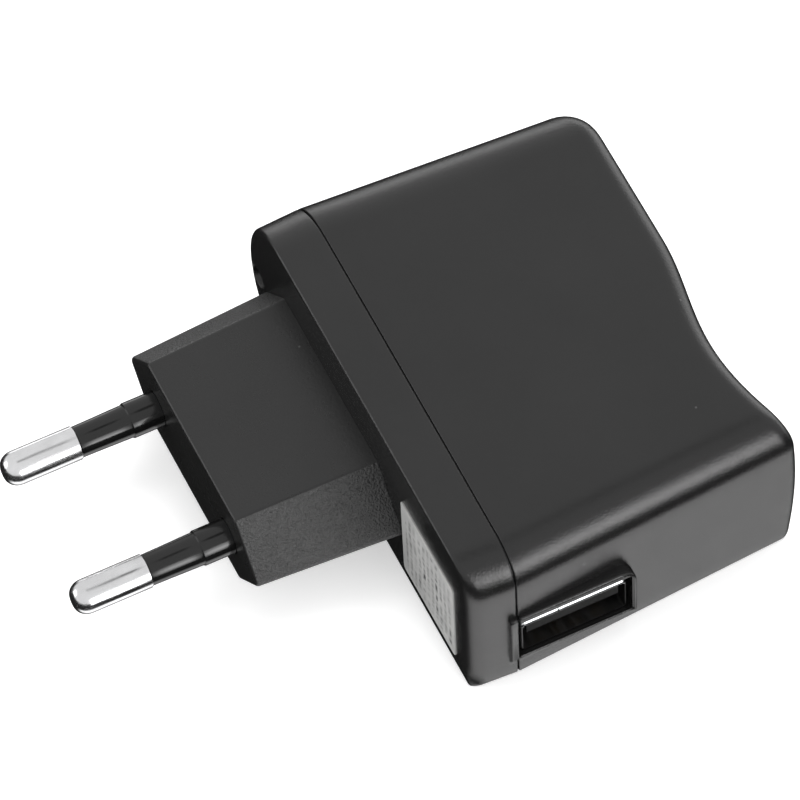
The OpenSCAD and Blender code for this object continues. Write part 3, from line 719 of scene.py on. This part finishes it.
def shell_ring(x, inset, drop=None):
    """Rounded rectangle of the socket's shell in YZ; drop is how far its top wall comes down."""
    top = usb_hi[2] - (inset if drop is None else drop)
    y0, y1, z0 = usb_lo[1] + inset, usb_hi[1] - inset, BOARD_TOP + inset
    pts = round_polygon([(y0, z0), (y1, z0), (y1, top), (y0, top)], max(0.7 - inset, 0.25), 6)
    return np.array([(x, p[0], p[1]) for p in pts])


def upright(name, xa, xb, ya, yb, za, zb):
    """Loose upright block, for cutting slits and adding legs."""
    corners = [(xa, ya), (xb, ya), (xb, yb), (xa, yb)]
    return make_object(name, *loft([[(x, y, z) for x, y in corners] for z in (za, zb)]), None)


x0, x1 = usb_lo[0], usb_hi[0]
rings = [shell_ring(x0, 0.15), shell_ring(x0 + 0.15, 0)]
for k in range(9):
    a = math.pi / 2 * k / 8
    turn = 1 - math.cos(a)
    rings.append(shell_ring(x1 - LIP_ROLL + LIP_ROLL * math.sin(a), SHEET * turn, LIP_ROLL * turn))
rings += [shell_ring(x1 - LIP_ROLL, SHEET, LIP_ROLL), shell_ring(x1 - LIP_ROLL - 0.2, SHEET),
          shell_ring(x0 + SHEET, SHEET)]
usb_shell = make_object("usb_shell_body", *loft(rings), "usb_steel", stands_for=["usb_shell"])
seam_y = usb_lo[1] + 4.62
shell_y = (usb_lo[1] + usb_hi[1]) / 2
# the seam that runs the whole length, then three slits round each spring tab
cuts = [(x0 - 1, x1 + 1, seam_y, seam_y + SEAM_WIDTH, usb_hi[2] - 1)]
for side in (-1, 1):
    mid = shell_y + side * 3.6
    cuts += [(x1 - 8.4, x1 - 3.0, mid - 1.2, mid - 1.0, usb_hi[2] - 0.6),
             (x1 - 8.4, x1 - 3.0, mid + 1.0, mid + 1.2, usb_hi[2] - 0.6),
             (x1 - 3.2, x1 - 3.0, mid - 1.1, mid + 1.1, usb_hi[2] - 0.6)]
for xa, xb, ya, yb, za in cuts:
    boolean(usb_shell, [upright("cut", xa, xb, ya, yb, za, usb_hi[2] + 1)], "DIFFERENCE")
legs = [upright("leg", x1 - 10, x1 - 8, y, y + 0.27, usb_lo[2], BOARD_TOP + 1.2)
        for y in (usb_lo[1] + 0.02, usb_hi[1] - SHEET + 0.01)]
boolean(usb_shell, legs, "UNION")
tidy(usb_shell, 40)
dress(usb_shell, "steel", "steel_painted_shade")
mid_y, mid_z = shell_y * MM, (BOARD_TOP + usb_hi[2]) / 2 * MM
# Painted shade: faces inside the socket's shell, and the front edges of its lower and side walls, take the
# dark copy of the steel in place of the shade in the recess.
for face in usb_shell.data.polygons:
    inward = (face.center.y - mid_y) * face.normal.y + (face.center.z - mid_z) * face.normal.z < 0
    facing = face.normal.x > 0.3 and face.center.z < (usb_hi[2] - 0.75) * MM
    face.material_index = 1 if inward or facing else 0

# ---------------------------------------------------------------- finishes of the carried-over nodes
finish_of = {
    "cover_screws": "screw", "rating_label": "label", "circuit_board": "board", "solder_joints": "solder",
    "usb_insulator": "usb_plastic", "usb_contact_tails": "gold",
    "usb_contact_1": "gold", "usb_contact_2": "gold", "usb_contact_3": "gold", "usb_contact_4": "gold",
    "transformer_core": "core", "transformer_bobbin": "bobbin", "transformer_winding": "tape",
    "transformer_pins": "solder", "input_capacitor": "bulk", "output_capacitor": "output",
    "y_capacitor": "blue", "rectifier_diodes": "diode", "fusible_resistor": "fuse",
    "switching_transistor": "chip", "optocoupler": "opto", "output_diode": "diode",
    "voltage_reference": "chip", "resistors": "resistor", "live_lead": "live", "neutral_lead": "neutral",
}
for name, finish in finish_of.items():
    dress(nodes[name], finish)

# ---------------------------------------------------------------- camera
CAM_AT = (0.42087, -0.17668, 0.73977)
CAM_AZ, CAM_EL, CAM_ROLL = (math.radians(v) for v in (66.91, 57.68, -3.17))
back = Vector((math.sin(CAM_AZ) * math.cos(CAM_EL), -math.cos(CAM_AZ) * math.cos(CAM_EL), math.sin(CAM_EL)))
side = (-back).cross(Vector((0, 0, 1))).normalized()
down = (-back).cross(side)
c, s = math.cos(CAM_ROLL), math.sin(CAM_ROLL)
right_axis = c * side - s * down
down_axis = s * side + c * down
camera = bpy.data.objects.new("camera", bpy.data.cameras.new("camera"))
scene.collection.objects.link(camera)
camera.matrix_world = Matrix((
    (right_axis.x, -down_axis.x, back.x, CAM_AT[0]),
    (right_axis.y, -down_axis.y, back.y, CAM_AT[1]),
    (right_axis.z, -down_axis.z, back.z, CAM_AT[2]),
    (0, 0, 0, 1)))
camera.data.sensor_width = 36
camera.data.lens = 349.36
camera.data.clip_start, camera.data.clip_end = 0.05, 20
scene.camera = camera

# ---------------------------------------------------------------- floor and light
REACH, FLOOR_Z = 1500, -0.02
floor = make_object("floor", [(x, y, FLOOR_Z) for x, y in ((-REACH, -REACH), (REACH, -REACH), (REACH, REACH),
                                                           (-REACH, REACH))], [(0, 1, 2, 3)], None)
fm, tree, b = shader("floor")
b.inputs["Base Color"].default_value = (0.92, 0.92, 0.92, 1)
b.inputs["Roughness"].default_value = 0.9
b.inputs["Specular IOR Level"].default_value = 0.0
b.inputs["Emission Color"].default_value = (1, 1, 1, 1)
b.inputs["Emission Strength"].default_value = 0.45    # lifts the shadows, as on a lit table
floor.data.materials.append(fm)
floor.visible_glossy = False

scene.view_settings.view_transform = "Standard"
world = bpy.data.worlds.new("studio")
scene.world = world
world.use_nodes = True
wt = world.node_tree
wt.nodes.clear()
DOME, WINDOW, CORE, TABLE = 0.80, 3.7, 2.7, 1.48
FAR_FLOOR, FRONT_LIGHT, BACK_LIGHT, EVERYWHERE = 1.6, 1.5, 1.1, 0.015


def world_light():
    """Studio as the surfaces reflect it, by direction. A dim dome with a darker patch overhead; a low
    light towards +X with a brighter core; a pale table straight below on that side; the floor's glow
    far off towards -X; and two weak lights in front and behind, both to the left. The camera itself
    sees an even pale backdrop."""
    new = wt.nodes.new

    def math_node(op, *values):
        n = new("ShaderNodeMath")
        n.operation = op
        for socket, v in zip(n.inputs, values):
            if isinstance(v, bpy.types.NodeSocket):
                wt.links.new(v, socket)
            else:
                socket.default_value = v
        return n.outputs[0]

    def smooth(value, low, high):
        n = new("ShaderNodeMapRange")
        n.interpolation_type = "SMOOTHSTEP"
        wt.links.new(value, n.inputs[0])
        n.inputs["From Min"].default_value, n.inputs["From Max"].default_value = low, high
        return n.outputs[0]

    def times(*values):
        out = values[0]
        for v in values[1:]:
            out = math_node("MULTIPLY", out, v)
        return out

    def less(value):
        return math_node("SUBTRACT", 1.0, value)

    co = new("ShaderNodeTexCoord")
    sep = new("ShaderNodeSeparateXYZ")
    wt.links.new(co.outputs["Generated"], sep.inputs[0])
    x, y, z = sep.outputs
    dome = times(smooth(z, -0.02, 0.08), DOME)
    above = math_node("ADD", times(y, 0.21), times(z, 0.977))
    dome = times(dome, less(times(smooth(above, 0.984, 0.996), 0.8)))
    sides = times(smooth(x, 0.35, 0.6), smooth(y, -0.02, 0.1), less(smooth(y, 0.36, 0.56)))
    left = times(smooth(x, -0.8, -0.62), less(smooth(x, -0.36, -0.2)))
    window = times(smooth(z, -0.19, -0.11), less(smooth(z, 0.40, 0.54)), sides, WINDOW)
    core = times(smooth(z, -0.05, 0.06), less(smooth(z, 0.22, 0.34)), sides, CORE)
    near = smooth(x, -0.1, 0.35)
    table = times(near, less(smooth(z, -0.80, -0.71)), TABLE)
    far = times(less(near), smooth(y, -0.12, 0.15), smooth(z, -0.45, -0.2),
                less(smooth(z, -0.05, 0.02)), FAR_FLOOR)
    front = times(less(smooth(y, -0.75, -0.5)), smooth(z, 0.0, 0.08), less(smooth(z, 0.42, 0.55)), left,
                  FRONT_LIGHT)
    back = times(smooth(y, 0.62, 0.8), smooth(z, -0.15, 0.0), less(smooth(z, 0.3, 0.45)), left, BACK_LIGHT)
    total = EVERYWHERE
    for part in (dome, window, core, table, far, front, back):
        total = math_node("ADD", total, part)
    path = new("ShaderNodeLightPath")
    seen = new("ShaderNodeMix")
    seen.data_type = "RGBA"
    wt.links.new(path.outputs["Is Camera Ray"], seen.inputs[0])
    wt.links.new(total, seen.inputs[6])
    seen.inputs[7].default_value = (0.95, 0.95, 0.95, 1)
    background = new("ShaderNodeBackground")
    wt.links.new(seen.outputs[2], background.inputs[0])
    out = new("ShaderNodeOutputWorld")
    wt.links.new(background.outputs[0], out.inputs[0])


world_light()


def softbox(name, at, size, power):
    """Rectangular area light at a point in millimetres, turned to the middle of the case."""
    light = bpy.data.lights.new(name, "AREA")
    light.shape, light.size, light.size_y = "RECTANGLE", size[0] * MM, size[1] * MM
    light.energy = power
    obj = bpy.data.objects.new(name, light)
    scene.collection.objects.link(obj)
    obj.location = Vector(at) * MM
    obj.rotation_mode = "QUATERNION"
    obj.rotation_quaternion = (Vector((0, 0, 10)) * MM - obj.location).to_track_quat("-Z", "Y")
    return obj


overhead = softbox("overhead", (-300, 300, 900), (700, 700), 6.0)
overhead.visible_glossy = False
